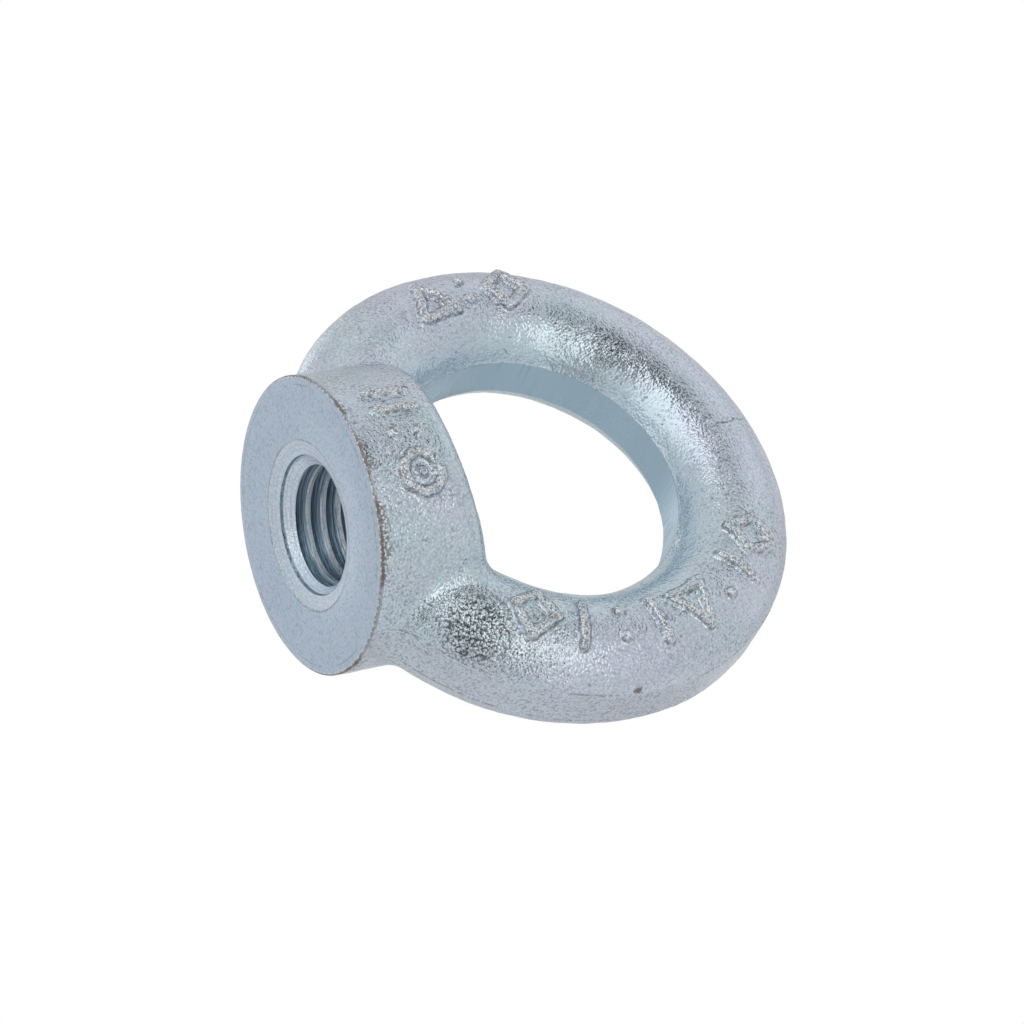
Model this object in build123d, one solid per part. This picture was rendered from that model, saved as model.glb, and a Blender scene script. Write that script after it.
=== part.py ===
from build123d import *
import math
import os

# Lifting eye nut: a drop-forged ring that grows out of a round threaded boss, all one piece.
# Millimetres. The seat face lies on z = 0 and the thread axis is Z. The ring stands above it
# in the XZ plane, which is also the parting plane of the dies, so the eye runs along Y.

# Overall sizes
seat_dia = 35.0          # round seat face that bears on the work
ring_dia = 63.0          # outside of the ring
eye_dia = 35.0           # hole of the eye
height = 62.0            # seat face to the crown of the ring

# Section of the ring
crown_width = 14.0       # along Y, at the crown
neck_width = 16.0        # along Y, where the ring enters the boss
trimmed_band = 5.2       # flat that trimming the flash leaves round the outside
punched_band = 4.5       # flat that punching the web leaves round the eye

# Boss
saddle_drop = 0.2        # top of the boss, below the floor of the eye on the thread axis
saddle_radius = 42.0     # its top rises from there towards both sides of the ring
boss_draft = 1.0         # degrees, on its side
shoulder_radius = 2.4    # rounding of its upper edge
blend_radius = 3.6       # forged fillet between ring and boss
seat_edge = 0.35         # broken edge round the seat face

# Thread hole, metric coarse, left at the minor diameter of its thread
thread_dia = 16.0
thread_pitch = 2.0
lead_dia = 20.0          # shallow cone of the lead-in, at the seat face
lead_slope = 20.0        # degrees between that cone and the seat face
throat_dia = 16.4        # where the lead-in turns steep
lead_depth = 1.9         # where it has narrowed to the hole
exit_chamfer = 0.8       # where the hole runs out in the floor of the eye

# Worked out from those
ring_radius = ring_dia / 2
eye_radius = eye_dia / 2
seat_radius = seat_dia / 2
ring_depth = ring_radius - eye_radius                  # radial thickness of the ring
ring_z = height - ring_radius                          # height of the ring's centre
floor_z = ring_z - eye_radius                          # floor of the eye
boss_height = floor_z - saddle_drop
thread_height = math.sqrt(3) / 2 * thread_pitch        # of its sharp triangle
minor_radius = thread_dia / 2 - 5 / 8 * thread_height
far = 2 * height                                       # longer than anything it has to cut
touch = 1e-3                                           # nearer than this is on the surface


def ring_section(turn):
    """Oval of the ring before trimming, turn degrees round from its lowest point."""
    lean = math.cos(math.radians(turn))
    width = (neck_width + crown_width) / 2 + (neck_width - crown_width) / 2 * lean
    inner = math.sqrt(1 - (punched_band / width) ** 2)
    outer = math.sqrt(1 - (trimmed_band / width) ** 2)
    half_depth = ring_depth / (inner + outer)
    middle_radius = eye_radius + half_depth * inner
    outward = Vector(math.sin(math.radians(turn)), 0, -lean)
    along = Vector(lean, 0, math.sin(math.radians(turn)))
    middle = Vector(0, 0, ring_z) + outward * middle_radius
    return Plane(origin=middle, x_dir=outward, z_dir=along) * Ellipse(half_depth, width / 2)


def make_ring():
    """Closed ring, thicker at the neck than at the crown, swept as two mirrored halves."""
    stations = [ring_section(turn) for turn in range(0, 181, 45)]
    start = Plane(origin=(0, 0, ring_z), x_dir=(0, 0, -1), z_dir=(0, -1, 0))
    path_radius = (ring_radius + eye_radius) / 2
    path = Edge.make_circle(path_radius, plane=start, start_angle=0, end_angle=180)
    half = sweep(stations, path=path, multisection=True)
    return half + mirror(half, Plane.YZ)


def make_boss():
    """Round boss with a drafted side, a saddle-shaped top and a rounded upper edge."""
    top = boss_height + seat_radius
    top_radius = seat_radius - top * math.tan(math.radians(boss_draft))
    side = Polyline(
        (0, 0),
        (seat_radius - seat_edge, 0),
        (seat_radius, seat_edge),
        (top_radius, top),
        (0, top),
        close=True,
    )
    boss = revolve(Plane.XZ * make_face(side), Axis.Z)
    saddle_axis = Pos(0, 0, boss_height + saddle_radius) * Rot(90, 0, 0)
    boss -= saddle_axis * Cylinder(saddle_radius, far)
    rim = boss.edges().sort_by(Axis.Z)[-1]
    return fillet(rim, shoulder_radius)


def blend(body, boss, ring):
    """Fillets every edge where the skin of the ring leaves the skin of the boss."""
    seam = []
    for edge in body.edges():
        points = [Vertex(*(edge @ part)) for part in (0.25, 0.5, 0.75)]
        skins = (boss.shells()[0], ring.shells()[0])
        on_both = all(skin.distance_to(point) < touch for skin in skins for point in points)
        if on_both and points[1].Z > touch:
            seam.append(edge)
    return fillet(seam, blend_radius)


def trim(body):
    """Trims the flash and punches the eye, which leaves the flat bands round the ring."""
    hoop = Pos(0, ring_z) * Circle(ring_radius)
    root = Pos(0, floor_z / 2) * Rectangle(seat_dia, floor_z)
    outline = hoop + root
    corners = [v for v in outline.vertices() if touch < v.Y < floor_z - touch]
    outline = fillet(corners, blend_radius) - Pos(0, ring_z) * Circle(eye_radius)
    return body & extrude(Plane.XZ * outline, far, both=True)


def thread_hole():
    """Two-step lead-in, plain hole at the minor diameter, chamfer in the floor of the eye."""
    lead_radius = lead_dia / 2
    throat_radius = throat_dia / 2
    throat_depth = (lead_radius - throat_radius) * math.tan(math.radians(lead_slope))
    exit_radius = minor_radius + exit_chamfer
    side = Polyline(
        (0, 0),
        (lead_radius, 0),
        (throat_radius, throat_depth),
        (minor_radius, lead_depth),
        (minor_radius, floor_z - exit_chamfer),
        (exit_radius, floor_z),
        (exit_radius, ring_z),
        (0, ring_z),
        close=True,
    )
    return revolve(Plane.XZ * make_face(side), Axis.Z)


ring = make_ring()
boss = make_boss()
body = (boss + ring) & Pos(0, 0, far / 2) * Box(far, far, far)
body = blend(body, boss, ring)
body = trim(body)
eye_nut = body - thread_hole()
print("volume", round(eye_nut.volume), "valid", eye_nut.is_valid)

os.makedirs("parts", exist_ok=True)
export_step(eye_nut, "parts/eye_nut.step")
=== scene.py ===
import bpy
import math
from mathutils import Matrix, Vector, noise


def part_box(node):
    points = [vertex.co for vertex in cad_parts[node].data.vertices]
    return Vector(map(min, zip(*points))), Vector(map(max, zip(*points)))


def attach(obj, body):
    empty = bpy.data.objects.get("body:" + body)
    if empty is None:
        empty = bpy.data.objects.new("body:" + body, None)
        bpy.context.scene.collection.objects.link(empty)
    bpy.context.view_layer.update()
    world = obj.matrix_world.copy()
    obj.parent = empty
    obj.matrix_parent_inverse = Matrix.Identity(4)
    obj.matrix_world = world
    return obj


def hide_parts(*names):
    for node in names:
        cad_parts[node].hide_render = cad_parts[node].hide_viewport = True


# Lifting eye nut, drop forged, machined on its seat and threaded, then zinc plated.
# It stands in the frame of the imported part: seat on z = 0, thread axis Z, eye along Y.
# Values are in millimetres where they say nothing else, and mm turns them into metres.

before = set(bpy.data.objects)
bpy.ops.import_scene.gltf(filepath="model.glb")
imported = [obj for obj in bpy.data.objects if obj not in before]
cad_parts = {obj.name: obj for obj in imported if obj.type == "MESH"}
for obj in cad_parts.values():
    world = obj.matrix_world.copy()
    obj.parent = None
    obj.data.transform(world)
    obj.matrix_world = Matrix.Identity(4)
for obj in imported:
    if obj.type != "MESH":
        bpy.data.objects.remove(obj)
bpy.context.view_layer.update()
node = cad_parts["eye_nut"]
lowest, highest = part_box("eye_nut")
mm = 0.001
weld = 1e-6                     # metres; points nearer than this are merged
print("frame loaded, box", [round(side, 4) for side in highest - lowest])


# Small helpers for selecting, modifiers and turned profiles.

def deselectAll():
    bpy.ops.object.select_all(action="DESELECT")


def pick(piece, *others):
    deselectAll()
    for other in others:
        other.select_set(True)
    piece.select_set(True)
    bpy.context.view_layer.objects.active = piece


def editAll(piece):
    pick(piece)
    bpy.ops.object.mode_set(mode="EDIT")
    bpy.ops.mesh.select_all(action="SELECT")


def doneEditing():
    bpy.ops.object.mode_set(mode="OBJECT")


def useModifier(piece, kind, **settings):
    pick(piece)
    bpy.ops.object.modifier_add(type=kind)
    modifier = piece.modifiers[-1]
    for name, value in settings.items():
        setattr(modifier, name, value)
    bpy.ops.object.modifier_apply(modifier=modifier.name)


def addCylinder(name, radius, bottom, top, sides=128):
    deselectAll()
    middle = (0, 0, (bottom + top) / 2)
    bpy.ops.mesh.primitive_cylinder_add(vertices=sides, radius=radius, depth=top - bottom, location=middle)
    bpy.ops.object.transform_apply(location=True, rotation=True, scale=True)
    bpy.context.object.name = name
    return bpy.context.object


def drawProfile(name, points):
    # one vertex, extruded from point to point in the XZ plane
    deselectAll()
    bpy.ops.mesh.primitive_plane_add(size=mm, location=(0, 0, 0))
    profile = bpy.context.object
    profile.name = name
    editAll(profile)
    bpy.ops.mesh.merge(type="CENTER")
    here = Vector((0, 0, 0))
    for count, (radius, height) in enumerate(points):
        there = Vector((radius, 0, height)) * mm
        if count == 0:
            bpy.ops.transform.translate(value=there - here)
        else:
            bpy.ops.mesh.extrude_vertices_move(TRANSFORM_OT_translate={"value": there - here})
        here = there
    doneEditing()
    return profile


def turnProfile(name, points, steps=192):
    # a solid of revolution about the thread axis
    profile = drawProfile(name, points)
    editAll(profile)
    bpy.ops.mesh.spin(steps=steps, angle=2 * math.pi, center=(0, 0, 0), axis=(0, 0, 1))
    bpy.ops.mesh.select_all(action="SELECT")
    bpy.ops.mesh.remove_doubles(threshold=weld)
    bpy.ops.mesh.normals_make_consistent(inside=False)
    doneEditing()
    return profile


def cut(piece, cutter):
    useModifier(piece, "BOOLEAN", operation="DIFFERENCE", object=cutter, solver="MANIFOLD")
    bpy.data.objects.remove(cutter)


def smoothStep(value, start, end):
    share = min(max((value - start) / (end - start), 0.0), 1.0)
    return share * share * (3 - 2 * share)


# The forging as it leaves the dies, with stock where it is machined later.
forging = {
    "ringRadius": (highest.x - lowest.x) / 2 / mm,      # outside of the ring
    "eyeRadius": 17.5,                                  # punched eye
    "seatRadius": (highest.y - lowest.y) / 2 / mm,
    "ringHeight": (highest.z - (highest.x - lowest.x) / 2) / mm,    # centre of the ring
    "punchedBand": 4.5,                                 # width of the flat round the eye
    "slack": (0.02, 0.05),                              # how far off its points may lie: radius, width
    "flash": 0.8,                                       # web left inside the eye before punching
    "flashShare": 0.68,                                 # its width, as a share of the band's
    # stock that is machined off later: radius, or None for the seat's, then bottom and top
    "stock": {
        "stockBelow": (None, -1.5, 0.34),
        "stockInLead": (12.0, -0.75, 4.0),
        "stockInHole": (8.4, 3.0, 12.9),
    },
    "grid": 0.40,                                       # size of the faces of the skin
    "waveSize": 7.0,                                    # long waves of the forged skin
    "waveHeight": 0.10,
    "dimpleSize": 1.7,                                  # short ones
    "dimpleHeight": 0.045,
    "wavesAtSeat": 0.3,                                 # share of the waves left at the seat
    "wavesGrow": (-0.5, 1.5),                           # heights between which they grow to full size
}
ringHeight = forging["ringHeight"]
eyeRadius = forging["eyeRadius"]


def ringPlace(point):
    # distance from the middle of the eye, and clock angle from the crown, seen from the front
    across, up = point.x / mm, point.z / mm - ringHeight
    return math.hypot(across, up), math.degrees(math.atan2(across, up))


def makeBlank():
    blank = bpy.data.objects.new("liftingEye", node.data.copy())
    bpy.context.scene.collection.objects.link(blank)
    editAll(blank)
    bpy.ops.mesh.remove_doubles(threshold=weld)
    doneEditing()
    # the band round the eye moves in to the edge of the flash, which the punch takes out later
    slack, sideSlack = forging["slack"]
    halfBand = forging["punchedBand"] / 2 + sideSlack
    for vertex in blank.data.vertices:
        reach = ringPlace(vertex.co)[0]
        if abs(reach - eyeRadius) < slack and abs(vertex.co.y) < halfBand * mm:
            inward = (eyeRadius - forging["flash"]) / reach
            vertex.co.x *= inward
            vertex.co.z = (ringHeight + (vertex.co.z / mm - ringHeight) * inward) * mm
            vertex.co.y *= forging["flashShare"]
    plugs = []
    for name, (radius, bottom, top) in forging["stock"].items():
        plugs.append(addCylinder(name, (radius or forging["seatRadius"]) * mm, bottom * mm, top * mm))
    pick(blank, *plugs)
    bpy.ops.object.join()
    useModifier(blank, "REMESH", mode="VOXEL", voxel_size=forging["grid"] * mm, use_smooth_shade=True)
    useModifier(blank, "SMOOTH", factor=0.5, iterations=2)
    print("blank", len(blank.data.polygons), "faces")
    return blank


lifting = makeBlank()


# Raised die marks: plain bars, dots, rings, diamonds and triangles.
marks = {
    "height": 0.72,                     # how far they stand out of the skin
    "stroke": 1.22,                     # width of a stroke
    "foot": 0.70,                       # width of its sloping edge
    "wander": 0.22,                     # how far an edge strays, as the dies are worn
    "wanderRate": 0.9,                  # and how often, per millimetre
    "fine": 1.6,                        # the skin gets smaller faces this near to a stroke
    "halfSize": 5.0,                    # nothing in a mark is further from its middle
    "faraway": 9.0,                     # stands for the distance where no mark is near
    # strokes of each shape, from point to point, sideways and outwards
    "shapes": {
        "dot": [((0, 0), (0, 0))],
        "dots": [((0, -1.6), (0, -1.6)), ((0, 1.6), (0, 1.6))],
        "bar": [((0, -2.5), (0, 2.5))],
        "bars": [((-1.5, -2.5), (-1.5, 2.5)), ((1.5, -2.5), (1.5, 2.5))],
        "diamond": [((0, -2.8), (2.6, 0)), ((2.6, 0), (0, 2.8)),
                    ((0, 2.8), (-2.6, 0)), ((-2.6, 0), (0, -2.8))],
        "triangle": [((-2.7, -2.2), (2.7, -2.2)), ((2.7, -2.2), (0, 2.6)), ((0, 2.6), (-2.7, -2.2))],
    },
    "ringMark": 2.3,                    # radius of a round mark with a dot in it
    "front": -4.0,                      # marks on the ring are in front of this Y
    "ringZone": (20.5, 30.0),           # and between these radii
    "bossZone": (16.8, 45.0, 2.0, 11.5),    # radius of its skin, degrees to each side, heights
    # round the ring: shape, clock angle from the crown, radius
    "ring": [
        ("triangle", -104.0, 25.2), ("dots", -91.5, 25.5), ("diamond", -79.0, 25.6),
        ("diamond", 121.0, 24.9), ("bar", 107.5, 25.0), ("dots", 96.0, 25.0), ("bar", 84.5, 25.0),
        ("triangle", 71.0, 25.1), ("dot", 59.5, 26.6), ("bar", 50.0, 25.3), ("diamond", 37.5, 25.5),
    ],
    # on the boss: shape, angle round the thread axis from the front, height
    "boss": [("bars", -13.0, 6.6), ("dots", 3.0, 6.6), ("round", 20.0, 6.8)],
}


def strokeDistance(place, start, end):
    run = end - start
    share = 0.0 if run.length == 0 else min(max((place - start).dot(run) / run.length_squared, 0.0), 1.0)
    return (place - start - run * share).length


def nearestStroke(shape, place):
    if place.length > marks["halfSize"]:
        return marks["faraway"]
    if shape == "round":
        return min(abs(place.length - marks["ringMark"]), place.length)
    return min(strokeDistance(place, Vector(start), Vector(end)) for start, end in marks["shapes"][shape])


def markDistance(point):
    # millimetres from a point of the skin to the middle of the nearest stroke
    nearest = marks["faraway"]
    reach, angle = ringPlace(point)
    inside, outside = marks["ringZone"]
    if point.y < marks["front"] * mm and inside < reach < outside:
        for shape, markAngle, markReach in marks["ring"]:
            place = Vector((math.radians(angle - markAngle) * reach, reach - markReach))
            nearest = min(nearest, nearestStroke(shape, place))
    outward = math.hypot(point.x, point.y) / mm
    turned = math.degrees(math.atan2(point.x, -point.y))
    skinRadius, widest, low, high = marks["bossZone"]
    if outward > skinRadius and low < point.z / mm < high and abs(turned) < widest:
        for shape, markTurn, markHeight in marks["boss"]:
            place = Vector((math.radians(turned - markTurn) * outward, point.z / mm - markHeight))
            nearest = min(nearest, nearestStroke(shape, place))
    return nearest + noise.noise(point / mm * marks["wanderRate"]) * marks["wander"]


def markShare(distance):
    # 1 on top of a mark, 0 away from it
    outer = marks["stroke"] / 2 + marks["foot"] / 2
    return 1 - smoothStep(distance, outer - marks["foot"], outer)


def raiseMarks(piece):
    pick(piece)
    near = [markDistance(vertex.co) < marks["fine"] for vertex in piece.data.vertices]
    for vertex in piece.data.vertices:
        vertex.select = False
    for edge in piece.data.edges:
        edge.select = False
    for face in piece.data.polygons:
        face.select = all(near[corner] for corner in face.vertices)
    bpy.ops.object.mode_set(mode="EDIT")
    bpy.ops.mesh.select_mode(type="FACE")
    bpy.ops.mesh.subdivide(number_cuts=1, smoothness=0)
    bpy.ops.mesh.select_mode(type="VERT")
    doneEditing()
    shares = [markShare(markDistance(vertex.co)) for vertex in piece.data.vertices]
    group = piece.vertex_groups.new(name="marks")
    for index, share in enumerate(shares):
        if share > 0:
            group.add([index], share, "REPLACE")
    useModifier(piece, "DISPLACE", strength=marks["height"] * mm, mid_level=0.0, vertex_group="marks")
    layer = piece.data.attributes.new("dieMarks", "FLOAT", "POINT")
    layer.data.foreach_set("value", shares)
    print("die marks raised,", len(piece.data.polygons), "faces")


raiseMarks(lifting)


# A forged skin is never quite even.
def addWaves(piece):
    group = piece.vertex_groups.new(name="skin")
    least = forging["wavesAtSeat"]
    for vertex in piece.data.vertices:
        grown = smoothStep(vertex.co.z / mm, *forging["wavesGrow"])
        group.add([vertex.index], least + (1 - least) * grown, "REPLACE")
    for name in ("wave", "dimple"):
        texture = bpy.data.textures.new(name, "CLOUDS")
        texture.noise_scale = forging[name + "Size"] * mm
        texture.noise_depth = 2
        height = forging[name + "Height"] * mm
        useModifier(piece, "DISPLACE", texture=texture, texture_coords="LOCAL", strength=height * 2,
                    mid_level=0.5, vertex_group="skin")
    print("skin made uneven")


addWaves(lifting)


# Machining: the eye is punched, the seat turned, the hole tapped.
machining = {
    "punchSides": 320,
    "punchLength": 60.0,
    # radius and depth of the lead-in, from the seat inwards
    "leadIn": [(10.0, 0.0), (8.22, 0.66), (8.13, 0.98), (6.8, 2.10)],
    "minorRadius": 6.9175,          # M16 x 2
    "majorRadius": 8.0,
    "pitch": 2.0,
    "threadStart": 0.76,            # how far the thread is wound on, in millimetres of its run
    "threadTurns": 11,
    "threadSteps": 96,              # to a turn
    "threadEnds": (-1.0, 16.6),     # heights at which the tap ends
    "rootRounding": 0.08,
    "rimChamfer": 0.26,
    "rimFall": (1.1, 0.05),         # the seat falls away inside the chamfer: width, height
    "exitChamfer": 0.8,
    "clear": 4.0,                   # how far a cutter stands past what it cuts
    "sliver": 0.004,                # narrower than this is merged away
    "sharpEdge": 34.0,              # degrees; flatter edges are shaded smooth
    "floor": ringHeight - eyeRadius,
}


def punchEye(piece):
    deselectAll()
    bpy.ops.mesh.primitive_cylinder_add(vertices=machining["punchSides"], radius=eyeRadius * mm,
                                        depth=machining["punchLength"] * mm,
                                        location=(0, 0, ringHeight * mm), rotation=(math.pi / 2, 0, 0))
    bpy.ops.object.transform_apply(location=True, rotation=True, scale=True)
    cut(piece, bpy.context.object)
    print("eye punched")


def turnSeat(piece):
    rim, chamfer, clear = forging["seatRadius"], machining["rimChamfer"], machining["clear"]
    fallWidth, fallHeight = machining["rimFall"]
    profile = [
        (0, -clear), (rim + clear, -clear), (rim + clear, chamfer + clear), (rim, chamfer),
        (rim - chamfer, fallHeight), (rim - fallWidth, 0.0),
    ]
    profile += machining["leadIn"] + [(0, machining["leadIn"][-1][1])]
    cut(piece, turnProfile("seatCutter", profile))
    print("seat turned")


def tapHole(piece):
    minor, major, pitch = machining["minorRadius"], machining["majorRadius"], machining["pitch"]
    flank = (major - minor) * math.tan(math.radians(30))        # its run along the axis
    rootStart = pitch / 4 + flank                               # after a flat crest of a quarter pitch
    rootEnd = pitch - flank
    shallow = major - machining["rootRounding"]
    early, late = flank * 0.07, (rootEnd - rootStart) * 0.35    # where the rounding begins and is done
    profile = [
        (minor, 0), (minor, pitch / 4), (shallow, rootStart - early), (major, rootStart + late),
        (major, rootEnd - late), (shallow, rootEnd + early), (minor, pitch),
    ]
    tap = drawProfile("tap", profile)
    useModifier(tap, "SCREW", axis="Z", angle=2 * math.pi, screw_offset=pitch * mm,
                iterations=machining["threadTurns"], steps=machining["threadSteps"],
                render_steps=machining["threadSteps"], use_merge_vertices=True, merge_threshold=weld)
    editAll(tap)
    bpy.ops.transform.translate(value=(0, 0, (machining["threadStart"] - pitch * 2) * mm))
    bpy.ops.mesh.remove_doubles(threshold=weld)
    for height, upper in zip(machining["threadEnds"], (False, True)):
        bpy.ops.mesh.select_all(action="SELECT")
        bpy.ops.mesh.bisect(plane_co=(0, 0, height * mm), plane_no=(0, 0, 1), use_fill=True,
                            clear_inner=not upper, clear_outer=upper, threshold=weld / 10)
    bpy.ops.mesh.select_all(action="SELECT")
    bpy.ops.mesh.normals_make_consistent(inside=False)
    doneEditing()
    floor, chamfer = machining["floor"], machining["exitChamfer"]
    exitRadius, exitTop = minor + chamfer, floor + machining["clear"]
    exitProfile = [(0, floor - chamfer), (minor, floor - chamfer), (exitRadius, floor),
                   (exitRadius, exitTop), (0, exitTop)]
    cut(piece, turnProfile("exitCutter", exitProfile))
    cut(piece, tap)
    print("hole tapped")


def clearSlivers(piece):
    # merges what the cuts left a few microns apart, then closes folds and drops loose edges
    editAll(piece)
    bpy.ops.mesh.remove_doubles(threshold=machining["sliver"] * mm)
    bpy.ops.mesh.dissolve_degenerate(threshold=machining["sliver"] * mm)
    bpy.ops.mesh.select_mode(type="EDGE")
    bpy.ops.mesh.select_all(action="DESELECT")
    bpy.ops.mesh.select_non_manifold(use_verts=False)
    bpy.ops.mesh.merge(type="COLLAPSE")
    bpy.ops.mesh.select_mode(type="VERT")
    bpy.ops.mesh.select_all(action="SELECT")
    bpy.ops.mesh.delete_loose()
    doneEditing()
    print("slivers cleared")


punchEye(lifting)
turnSeat(lifting)
tapHole(lifting)
clearSlivers(lifting)
pick(lifting)
bpy.ops.object.shade_smooth_by_angle(angle=math.radians(machining["sharpEdge"]))
print("lifting eye:", len(lifting.data.polygons), "faces,",
      sum(len(face.vertices) - 2 for face in lifting.data.polygons), "triangles")


class Wire:
    # a socket of a node tree; arithmetic on wires adds Math nodes
    def __init__(self, tree, socket=None):
        self.tree = tree
        self.socket = socket

    def node(self, kind, settings, inputs, output=0):
        made = self.tree.nodes.new("ShaderNode" + kind)
        for name, value in settings.items():
            setattr(made, name, value)
        for name, value in inputs.items():
            if isinstance(value, Wire):
                self.tree.links.new(value.socket, made.inputs[name])
            else:
                made.inputs[name].default_value = value
        return Wire(self.tree, made.outputs[output])

    def maths(self, operation, first, second=0.0):
        return self.node("Math", {"operation": operation}, {0: first, 1: second})

    def __add__(self, other):
        return self.maths("ADD", self, other)

    def __radd__(self, other):
        return self.maths("ADD", other, self)

    def __sub__(self, other):
        return self.maths("SUBTRACT", self, other)

    def __rsub__(self, other):
        return self.maths("SUBTRACT", other, self)

    def __mul__(self, other):
        return self.maths("MULTIPLY", self, other)

    def __rmul__(self, other):
        return self.maths("MULTIPLY", other, self)

    def __truediv__(self, other):
        return self.maths("DIVIDE", self, other)

    def __pow__(self, other):
        return self.maths("POWER", self, other)

    def __abs__(self):
        return self.maths("ABSOLUTE", self)

    def ramp(self, start, end):
        # 0 below start, 1 above end, smooth between
        return self.node("MapRange", {"interpolation_type": "SMOOTHSTEP"},
                         {0: self, 1: start, 2: end, 3: 0.0, 4: 1.0})

    def fall(self, start, end):
        # 1 below start, 0 above end
        return 1 - self.ramp(start, end)

    def within(self, start, full, ebb, end):
        # 0 outside start and end, 1 from full to ebb
        return self.ramp(start, full) * self.fall(ebb, end)

    def upTo(self, other):
        return self.maths("MAXIMUM", self, other)

    def farFrom(self, place):
        return self.node("VectorMath", {"operation": "DISTANCE"}, {0: self, 1: place}, 1)

    def between(self, first, second):
        # from the first colour to the second by this share
        return self.node("Mix", {"data_type": "RGBA", "clamp_factor": True},
                         {0: self, 6: first, 7: second}, 2)

    def pebbles(self, size):
        # cells of that size, 0 in their middle
        return self.node("TexVoronoi", {"feature": "F1"}, {"Vector": self, "Scale": 1 / size})

    def noise(self, scale, detail=2.0, roughness=0.5, shift=(0, 0, 0), stretch=(1, 1, 1), distortion=0.0):
        place = self.node("Mapping", {}, {"Vector": self, "Location": shift, "Scale": stretch})
        return self.node("TexNoise", {}, {"Vector": place, "Scale": scale, "Detail": detail,
                                          "Roughness": roughness, "Distortion": distortion})

    def lines(self, across, beside, length, scale, roughness):
        # noise drawn out along the third direction
        place = self.node("CombineXYZ", {}, {0: across, 1: beside, 2: length})
        return self.node("TexNoise", {}, {"Vector": place, "Scale": scale, "Detail": 3.0,
                                          "Roughness": roughness})


zinc = {
    "blue": (0.580, 0.680, 0.750, 1),       # base of the plating
    "lilac": (0.620, 0.672, 0.785, 1),
    "cyan": (0.558, 0.697, 0.760, 1),
    "pale": (0.840, 0.870, 0.890, 1),       # worn or burnished, and painted glints and highlights on grain peaks, the lead-in, thread crests and rim
    "dark": (0.230, 0.265, 0.300, 1),       # in pits and round the marks, and painted shade in the hollows of the grain
    # near black, painted as a dark reflection in the rough patch where the boss meets the ring
    "scale": (0.080, 0.085, 0.090, 1),
    "brown": (0.205, 0.165, 0.145, 1),      # bare steel in the roots of marks and edges; in the roots of marks it is also painted shade
    "tan": (0.800, 0.735, 0.680, 1),
    "punched": (0.370, 0.520, 0.620, 1),    # band round the eye
    "trimmed": (0.570, 0.630, 0.720, 1),    # band round the outside
    "turned": (0.545, 0.672, 0.800, 1),     # seat and lead-in
    "turnedLilac": (0.590, 0.662, 0.810, 1),
    # dark teal, painted shade in the thread's grooves and in the step of the lead-in
    "paintedShadeTeal": (0.165, 0.280, 0.335, 1),
    "roughness": 0.16,
    "grainSize": 0.27,                      # millimetres, of the blasted grain
    "pebbleSize": 0.35,
    "grainHeight": 0.11,
    "lumpSize": 1.0,                        # of the coarser lumps under it
    "lumpHeight": 0.07,
    "lap": ((-0.6, 53.2), (-1.9, 58.9)),    # fine lap in the skin, from X and Z to X and Z
    "scar": (31.3, -3.0, 28.6),             # one deep pit
    "roughPatchPaintedDark": (21.2, -6.0, 10.6),           # middle of a rougher patch, painted near black on its grain's hollows as a dark reflection
    "scribedRadius": 16.45,                 # faint line on the seat
    "trimmedInside": (0.35, 0.10),          # the trimmed band starts and is whole this near to the outside
}


def layered(colour, layers):
    # tints a colour with one of the zinc's colours after another
    for name, share in layers:
        colour = share.between(colour, zinc[name])
    return colour


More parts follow.
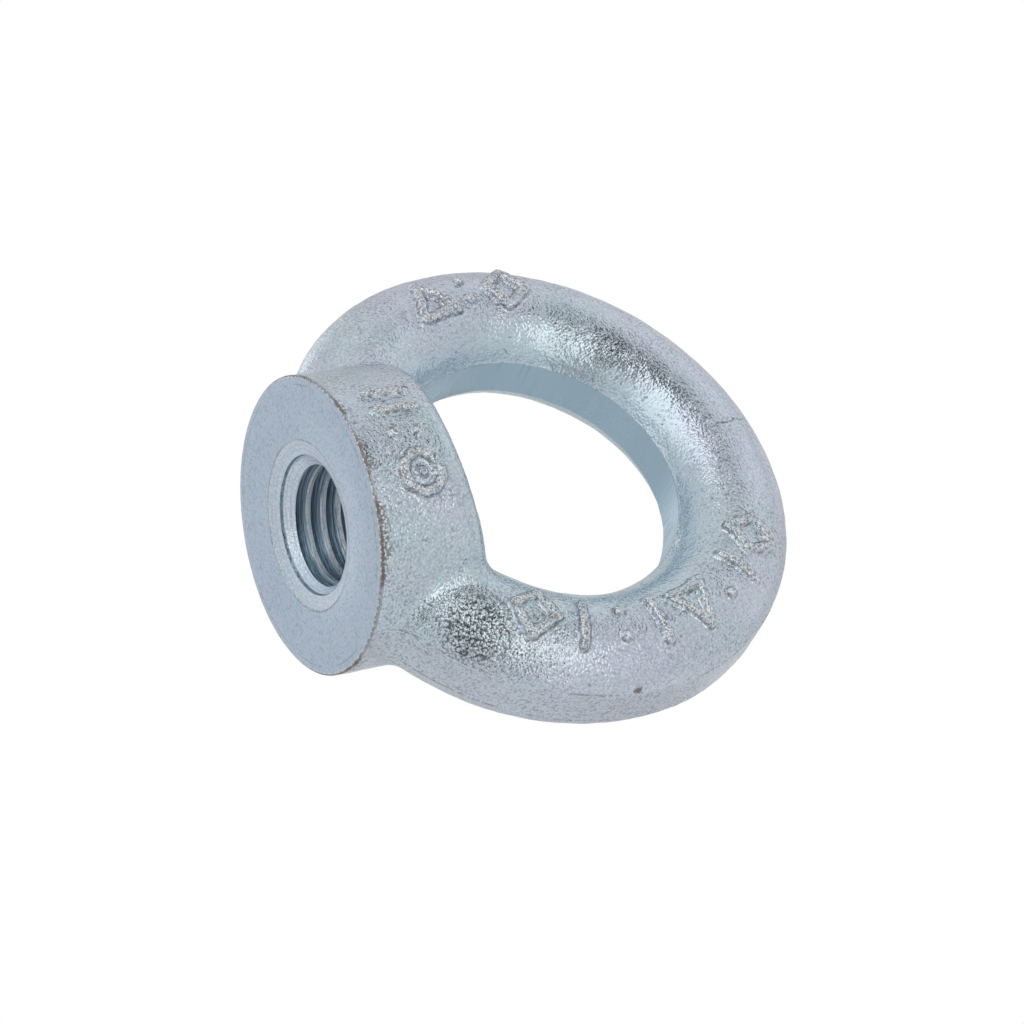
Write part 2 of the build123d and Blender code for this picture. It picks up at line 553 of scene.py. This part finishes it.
def zincFinish():
    material = bpy.data.materials.new("zincPlatedForging")
    material.use_nodes = True
    tree = material.node_tree
    tree.nodes.clear()
    sheet = Wire(tree)
    local = sheet.node("TexCoord", {}, {}, 3)
    place = sheet.node("VectorMath", {"operation": "SCALE"}, {0: local, "Scale": 1 / mm})
    x, y, z = (sheet.node("SeparateXYZ", {}, {0: place}, side) for side in range(3))
    axis = (x * x + y * y) ** 0.5                               # from the thread axis
    up = z - ringHeight
    reach = (x * x + up * up) ** 0.5                            # from the middle of the eye

    # patterns
    patch = place.noise(0.16, 3.0, 0.55, shift=(3.1, 7.7, 1.3)).ramp(0.38, 0.62)
    mottle = place.noise(0.75, 3.0, 0.6, shift=(11.0, 2.0, 5.0))
    pebbles = 1 - place.pebbles(zinc["pebbleSize"])
    grain = place.noise(1 / zinc["grainSize"], 1.0, 0.45) * 0.6 + pebbles * 0.4
    lumps = place.noise(1 / zinc["lumpSize"], 1.0, 0.5, shift=(5.0, 9.0, 2.0), distortion=0.4)
    pits = place.noise(1.15, 2.0, 0.5, shift=(21.0, 4.0, 8.0)).ramp(0.68, 0.75)
    edge = place.noise(2.2, 3.0, 0.7, shift=(6.0, 6.0, 9.0))
    edgePatch = place.noise(0.16, 2.0, 0.5, shift=(1.0, 16.0, 4.0))
    hue = place.noise(1.7, 2.0, 0.6, shift=(2.0, 13.0, 4.0))
    warm = place.noise(1.3, 3.0, 0.65, shift=(17.0, 5.0, 3.0))
    broadHue = place.noise(0.10, 2.0, 0.5, shift=(9.0, 1.0, 6.0))

    # lines that the tools leave
    streaks = place.noise(1.0, 3.0, 0.55, stretch=(2.8, 0.16, 2.8))
    rings = sheet.lines(axis * 2.6, z * 2.6, x * 0.03, 1.6, 0.6)
    trimLines = sheet.lines(reach * 2.2, y * 2.2, (x + z) * 0.12, 1.5, 0.6)
    lead = sheet.maths("ARCTAN2", 0 - y, 0 - x) * (machining["pitch"] / (2 * math.pi))
    threadLines = sheet.lines(axis * 3.0, (z - lead) * 5.0, x * 0.08, 1.3, 0.65)

    # machined surfaces
    seatRadius, chamfer = forging["seatRadius"], machining["rimChamfer"]
    leadRadius, leadDepth = machining["leadIn"][0][0], machining["leadIn"][-1][1]
    boreRadius, boreTop = machining["majorRadius"], machining["floor"] + 2.2
    seat = z.fall(0.03, 0.09)
    rim = axis.ramp(seatRadius - 0.4, seatRadius - 0.3) * z.fall(chamfer, chamfer + 0.08)
    # painted highlight: a pale line low on the rim's chamfer
    paintedRimHighlight = rim * z.within(0.03, 0.08, 0.16, 0.22)
    lip = axis.fall(leadRadius + 0.02, leadRadius + 0.06) * z.fall(leadDepth - 0.1, leadDepth)
    # the small step in the lead-in, painted dark teal as its shade
    step = axis.within(8.03, 8.09, 8.20, 8.25) * z.within(0.60, 0.68, 1.0, 1.12)
    hole = axis.fall(boreRadius + 0.04, boreRadius + 0.10) * z.within(0.5, 0.8, boreTop, boreTop + 0.2)
    # thread crests, where the pale and tan are painted highlights
    crest = hole * axis.fall(6.99, 7.12) * z.ramp(2.0, 2.4)
    # painted shade, darker deeper into the thread's grooves
    threadShade = hole * axis.ramp(6.95, 7.40) * z.within(2.0, 2.6, 12.0, 12.6)
    machined = seat.upTo(rim).upTo(lip).upTo(hole)

    # bands round the ring, and skin
    bandStart, bandFull = (forging["ringRadius"] - inside for inside in zinc["trimmedInside"])
    punched = reach.fall(eyeRadius + 0.02, eyeRadius + 0.07) * (1 - machined)
    trimmed = reach.ramp(bandStart, bandFull) * (abs(y) + edge * 0.6).fall(2.3, 2.9) * (1 - machined)
    skin = (1 - machined) * (1 - punched)
    outer = reach.ramp(23.5, 28.5) * z.ramp(14.0, 20.0)
    calm = 0.62 + 0.38 * reach.ramp(18.5, 22.0).upTo(z.fall(12.0, 15.0))       # smoother round the eye
    markTop = sheet.node("Attribute", {"attribute_name": "dieMarks"}, {}, 2)
    foot = markTop.within(0.02, 0.20, 0.35, 0.70)
    markFace = markTop.ramp(0.35, 0.75)

    # wear and faults
    rimLine = axis.ramp(seatRadius - 0.2, seatRadius - 0.12) * (z + (edge - 0.5) * 0.35).fall(0.36, 0.46)
    worn = 0.50 + 0.50 * edgePatch.ramp(0.38, 0.54)
    rimHeight = edgePatch.ramp(0.40, 0.60) * 1.5 + 0.25
    grime = (z / rimHeight).fall(0.3, 1.1) * axis.ramp(seatRadius - 0.34, seatRadius - 0.2)
    wander = abs(axis + (edge - 0.5) * 0.24 - leadRadius)
    mouth = wander.fall(0.05, 0.13) * (0.35 + edgePatch.ramp(0.42, 0.60) * 0.65)
    scribed = abs(axis + (mottle - 0.5) * 0.2 - zinc["scribedRadius"]).fall(0.03, 0.10)
    scribed = scribed * edgePatch.ramp(0.42, 0.56)
    (startX, startZ), (endX, endZ) = zinc["lap"]
    runX, runZ = endX - startX, endZ - startZ
    run = math.hypot(runX, runZ)
    along = ((x - startX) * runX + (z - startZ) * runZ) / run
    aside = ((x - startX) * runZ - (z - startZ) * runX) / run + (mottle - 0.5) * 1.6
    lap = abs(aside).fall(0.05, 0.16) * along.within(-0.2, 0.6, run - 0.8, run + 0.2)
    lap = lap * (0 - y).ramp(3.0, 4.0) * (0.4 + edge.ramp(0.40, 0.55) * 0.6)
    nearNeck = x.ramp(17.0, 19.0) * z.fall(12.0, 14.0)
    trimEdge = reach.ramp(30.8, 31.2) * abs(y).ramp(2.3, 2.6) * (abs(y) + edge * 0.5).fall(2.75, 3.1)
    trimEdge = trimEdge * edge.ramp(0.46, 0.56) * edgePatch.ramp(0.40, 0.54).upTo(nearNeck) * (1 - machined)
    scar = (place.farFrom(zinc["scar"]) + (edge - 0.5) * 1.2).fall(0.25, 0.65)
    roughPatchPaintedDark = (place.farFrom(zinc["roughPatchPaintedDark"]) + (mottle - 0.5) * 2.0).fall(2.6, 5.2)

    # colour of the forged skin, then of its bands
    tone = hue + (broadHue - 0.5) * 0.7 + outer * 0.13
    forged = layered(zinc["blue"], [
        ("lilac", tone.ramp(0.50, 0.64)),
        ("cyan", (1 - tone).ramp(0.52, 0.66) * 0.8),
        ("tan", warm.ramp(0.58, 0.72) * 0.45),
        # the skin's tone follows its grain: partly the blasted zinc's own, partly painted glints on its peaks
        ("pale", grain.ramp(0.52, 0.66) * calm * 0.60),
        ("cyan", reach.fall(18.5, 22.0) * z.ramp(14.0, 16.0) * 0.5),
        # partly the zinc's own tone, partly painted shade in the grain's hollows
        ("dark", grain.fall(0.33, 0.47) * calm * (0.25 + 0.30 * patch)),
        ("dark", pits * 0.6),
        # painted dark reflection on the rough patch where the boss meets the ring
        ("scale", roughPatchPaintedDark * grain.fall(0.38, 0.56) * 0.85),
        ("tan", markFace * warm.ramp(0.44, 0.62) * 0.50),
        # painted glints on the grain's peaks on the mark faces
        ("pale", markFace * grain.ramp(0.50, 0.60) * 0.5),
        ("brown", markFace * grain.fall(0.38, 0.50) * 0.45),
        # brown in the roots of the marks: partly bare steel and dirt, partly painted shade in the concave
        # foot
        ("brown", foot * mottle.ramp(0.42, 0.58) * edge.ramp(0.36, 0.52) * 0.75),
        ("brown", (lap * 0.6).upTo(trimEdge * 0.7)),
        ("trimmed", trimmed * 0.5),
        ("lilac", trimmed * trimLines.ramp(0.48, 0.62) * 0.45),
        ("dark", trimmed * trimLines.fall(0.36, 0.46) * 0.22),
        ("dark", trimmed * grain.fall(0.34, 0.50) * 0.45),
        ("tan", trimmed * warm.ramp(0.50, 0.62) * 0.25),
        ("punched", punched * 0.92),
        ("brown", scar * 0.9),
    ])

    # colour of the seat, then of the lead-in and the thread
    faced = layered(zinc["turned"], [
        ("turnedLilac", (hue * 0.5 + mottle * 0.5).ramp(0.46, 0.56) * 0.85),
        ("cyan", (1 - warm).ramp(0.52, 0.62) * 0.45),
        ("dark", seat * mottle.fall(0.34, 0.50) * 0.09),
        ("tan", warm.ramp(0.58, 0.70) * 0.18),
        ("dark", seat * grain.fall(0.34, 0.48) * 0.30),
        ("pale", rings.ramp(0.45, 0.75) * 0.14 + seat * grain.ramp(0.54, 0.68) * 0.2),
        # painted highlight: pale speckle over the lead-in
        ("pale", lip * (0.08 + grain.ramp(0.46, 0.60) * 0.6)),
        ("dark", lip * rings.fall(0.36, 0.46) * 0.30),
        # painted shade in the step of the lead-in and in the thread's grooves
        ("paintedShadeTeal", step * 0.75),
        ("paintedShadeTeal", threadShade * (0.45 + 0.50 * threadLines.ramp(0.42, 0.58))),
        # painted highlights on the thread crests, tan and pale
        ("tan", crest * edge.ramp(0.46, 0.58) * 0.45),
        ("pale", crest * threadLines.ramp(0.44, 0.56) * 0.9),
        ("dark", crest * edge.fall(0.36, 0.44) * 0.35),
        ("brown", (mouth * 0.42).upTo(scribed * 0.42) * z.fall(0.1, 0.2)),
    ])
    colour = layered(machined.between(forged, faced), [
        # painted highlight along the rim
        ("pale", paintedRimHighlight * edge.ramp(0.40, 0.56) * 0.8),
        ("brown", grime * grain.fall(0.46, 0.58) * 0.80),
        ("brown", rimLine * worn * (0.60 + 0.40 * edge.ramp(0.38, 0.56)) * 0.95),
    ])

    # gloss; the plating is dull round the eye
    metal = 1 - 0.45 * skin * reach.fall(17.8, 20.8) * z.ramp(15.0, 18.0) - 0.55 * punched
    gloss = zinc["roughness"] + (mottle - 0.5) * 0.12 + patch * 0.04
    gloss = gloss + machined * 0.14 + punched * 0.12 + trimmed * 0.08 + pits * 0.2 + foot * 0.2

    # relief, in millimetres
    grainRelief = grain * zinc["grainHeight"] * (0.75 + 0.5 * patch) * calm
    skinRelief = grainRelief * (1 + markFace * 0.8 + roughPatchPaintedDark * 0.5) + lumps * zinc["lumpHeight"] - pits * 0.05
    relief = skin * skinRelief * (1 - 0.45 * trimmed) + seat * (rings * 0.008 + grain * 0.022) * (1 - rim)
    relief = relief + lip * (rings * 0.04 + grain * 0.13)
    relief = relief + hole * (1 - lip) * (threadLines * 0.24 + grain * 0.04)
    relief = relief + rim * grain * 0.10 - mouth * seat * 0.02
    relief = relief + punched * (streaks * 0.03 + grain * 0.014) + trimmed * (trimLines * 0.05 + grain * 0.03)
    relief = relief - lap * 0.10 - trimEdge * 0.10 - rimLine * edge * 0.12 - scar * 0.15
    bump = sheet.node("Bump", {}, {"Strength": 1.0, "Distance": mm, "Height": relief})
    shader = sheet.node("BsdfPrincipled", {}, {"Base Color": colour, "Metallic": metal, "Roughness": gloss,
                                               "Normal": bump})
    output = tree.nodes.new("ShaderNodeOutputMaterial")
    tree.links.new(shader.socket, output.inputs["Surface"])
    return material


lifting.data.materials.clear()
lifting.data.materials.append(zincFinish())
for face in lifting.data.polygons:
    face.material_index = 0
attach(lifting, "root")
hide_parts("eye_nut")
print("zinc finish on")


# Studio: camera, pale floor, soft light.
studio = {
    "azimuth": 33.13,               # degrees round from the front
    "elevation": -29.82,            # degrees; the camera looks up from below the seat
    "roll": 80.98,                  # degrees; the nut lies on its side in the view
    "distance": 0.4185,             # metres
    "aim": (0.95, 2.38, 27.92),
    "lens": 123.2,
    "sensor": 36,
    "backdrop": (1.0, 1.0, 1.0, 1),
    "surroundDim": (0.600, 0.608, 0.620, 1),    # what the bare metal mirrors all round, in soft patches
    "surroundLit": (0.775, 0.783, 0.790, 1),
    "floorSize": 6.0,               # metres
    "floorGap": 0.05,               # under the seat
    "floorPale": (0.80, 0.81, 0.82, 1),
    "floorGlow": (0.36, 0.36, 0.36, 1),
    "floorFade": (0.06, 0.42),      # metres from the nut, where it turns into the backdrop
    "cardColour": (0.02, 0.02, 0.022, 1),
    # where the camera has it, as right, up and towards it, then distance, width and height in metres,
    # and tilt in degrees; for a light also its brightness and colour
    "lights": {
        "keySoftbox": ((-0.40, 0.56, 0.72), 0.60, 0.74, 0.42, 45.0, 0.62, (1.0, 0.99, 0.99)),
        "sideSoftbox": ((0.46, -0.02, 0.88), 0.60, 0.21, 0.62, -14.0, 0.70, (1.0, 0.99, 0.90)),
        "leftSoftbox": ((-0.90, 0.38, -0.10), 0.70, 0.45, 0.45, 0.0, 0.14, (0.7, 0.95, 1.0)),
        "upperSoftbox": ((0.64, 0.70, -0.25), 0.70, 0.50, 0.50, 0.0, 0.08, (0.9, 0.85, 1.0)),
        "backSoftbox": ((-0.56, 0.26, -0.79), 0.60, 0.26, 0.42, 0.0, 0.42, (1.0, 1.0, 0.98)),
    },
    "cards": {
        "darkCardBelow": ((-0.035, -0.467, 0.883), 0.25, 0.060, 0.17, -19.0),
        "darkCard": ((0.12, 0.12, 0.985), 0.50, 0.085, 0.42, -20.0),
        "darkCardAbove": ((0.315, 0.733, 0.603), 0.50, 0.115, 0.38, -22.0),
    },
}


def facing(back, tilt=0.0, right=None):
    # turns local Z to back, and local X as level as it can be, or towards right
    level = Vector((0, 0, 1)).cross(back) if right is None else right - back * right.dot(back)
    level.normalize()
    turned = Matrix((level, back.cross(level), back)).transposed()
    return turned @ Matrix.Rotation(math.radians(tilt), 3, "Z")


def setCamera():
    azimuth, elevation = math.radians(studio["azimuth"]), math.radians(studio["elevation"])
    back = Vector((math.sin(azimuth) * math.cos(elevation), -math.cos(azimuth) * math.cos(elevation),
                   math.sin(elevation)))
    data = bpy.data.cameras.new("camera")
    data.lens = studio["lens"]
    data.sensor_width = studio["sensor"]
    camera = bpy.data.objects.new("camera", data)
    bpy.context.scene.collection.objects.link(camera)
    turned = facing(back, studio["roll"])
    place = Vector(studio["aim"]) * mm + back * studio["distance"]
    camera.matrix_world = Matrix.Translation(place) @ turned.to_4x4()
    bpy.context.scene.camera = camera
    return turned


def hang(piece, seen, distance, tilt, size=(1, 1)):
    # puts a light or card round the nut, where the camera has it
    back = (view @ Vector(seen)).normalized()
    place = Vector(studio["aim"]) * mm + back * distance
    turned = facing(back, tilt, view @ Vector((1, 0, 0))).to_4x4()
    piece.matrix_world = Matrix.Translation(place) @ turned @ Matrix.Diagonal((*size, 1, 1))
    piece.visible_camera = False


def addLight(name, seen, distance, width, height, tilt, brightness, colour):
    data = bpy.data.lights.new(name, "AREA")
    data.shape = "RECTANGLE"
    data.size, data.size_y = width, height
    data.energy = brightness * math.pi * width * height
    data.color = colour
    light = bpy.data.objects.new(name, data)
    bpy.context.scene.collection.objects.link(light)
    hang(light, seen, distance, tilt)


def addCard(name, seen, distance, width, height, tilt):
    # dark card that the bare metal mirrors as a soft dark stripe
    deselectAll()
    bpy.ops.mesh.primitive_plane_add(size=1.0, location=(0, 0, 0))
    card = bpy.context.object
    card.name = name
    hang(card, seen, distance, tilt, (width, height))
    material = bpy.data.materials.new(name)
    material.use_nodes = True
    shader = material.node_tree.nodes["Principled BSDF"]
    shader.inputs["Base Color"].default_value = studio["cardColour"]
    shader.inputs["Roughness"].default_value = 1.0
    card.data.materials.append(material)


def addFloor():
    # pale, whiter away from the nut, seen from above only, and not mirrored in the seat on it
    deselectAll()
    bpy.ops.mesh.primitive_plane_add(size=studio["floorSize"], location=(0, 0, -studio["floorGap"] * mm))
    floor = bpy.context.object
    floor.name = "floor"
    material = bpy.data.materials.new("paleFloor")
    material.use_nodes = True
    tree = material.node_tree
    tree.nodes.clear()
    sheet = Wire(tree)
    below = sheet.node("NewGeometry", {}, {}, "Backfacing")
    lit = sheet.node("BsdfDiffuse", {}, {"Color": studio["floorPale"]})
    glow = sheet.node("Emission", {}, {"Color": studio["floorGlow"]})
    pale = sheet.node("AddShader", {}, {0: lit, 1: glow})
    away = sheet.node("TexCoord", {}, {}, 3).farFrom((0, 0, 0))
    white = sheet.node("Emission", {}, {"Color": studio["backdrop"]})
    pale = sheet.node("MixShader", {}, {0: away.ramp(*studio["floorFade"]), 1: pale, 2: white})
    clear = sheet.node("BsdfTransparent", {}, {})
    both = sheet.node("MixShader", {}, {0: below, 1: pale, 2: clear})
    output = tree.nodes.new("ShaderNodeOutputMaterial")
    tree.links.new(both.socket, output.inputs["Surface"])
    floor.data.materials.append(material)
    floor.visible_diffuse = False
    floor.visible_glossy = False
    floor.visible_transmission = False
    floor.visible_shadow = False


def setWorld():
    world = bpy.data.worlds.new("studio")
    world.use_nodes = True
    tree = world.node_tree
    tree.nodes.clear()
    sheet = Wire(tree)
    seen = sheet.node("LightPath", {}, {}, "Is Camera Ray")
    patches = sheet.node("TexCoord", {}, {}).noise(3.2, 1.0, 0.5, shift=(0.4, 0.2, 0.7)).ramp(0.40, 0.60)
    patchy = patches.between(studio["surroundDim"], studio["surroundLit"])
    surround = sheet.node("Background", {}, {"Color": patchy})
    backdrop = sheet.node("Background", {}, {"Color": studio["backdrop"]})
    both = sheet.node("MixShader", {}, {0: seen, 1: surround, 2: backdrop})
    output = tree.nodes.new("ShaderNodeOutputWorld")
    tree.links.new(both.socket, output.inputs["Surface"])
    bpy.context.scene.world = world
    bpy.context.scene.view_settings.view_transform = "Standard"


view = setCamera()
addFloor()
setWorld()
for name, light in studio["lights"].items():
    addLight(name, *light)
for name, card in studio["cards"].items():
    addCard(name, *card)
print("studio set")
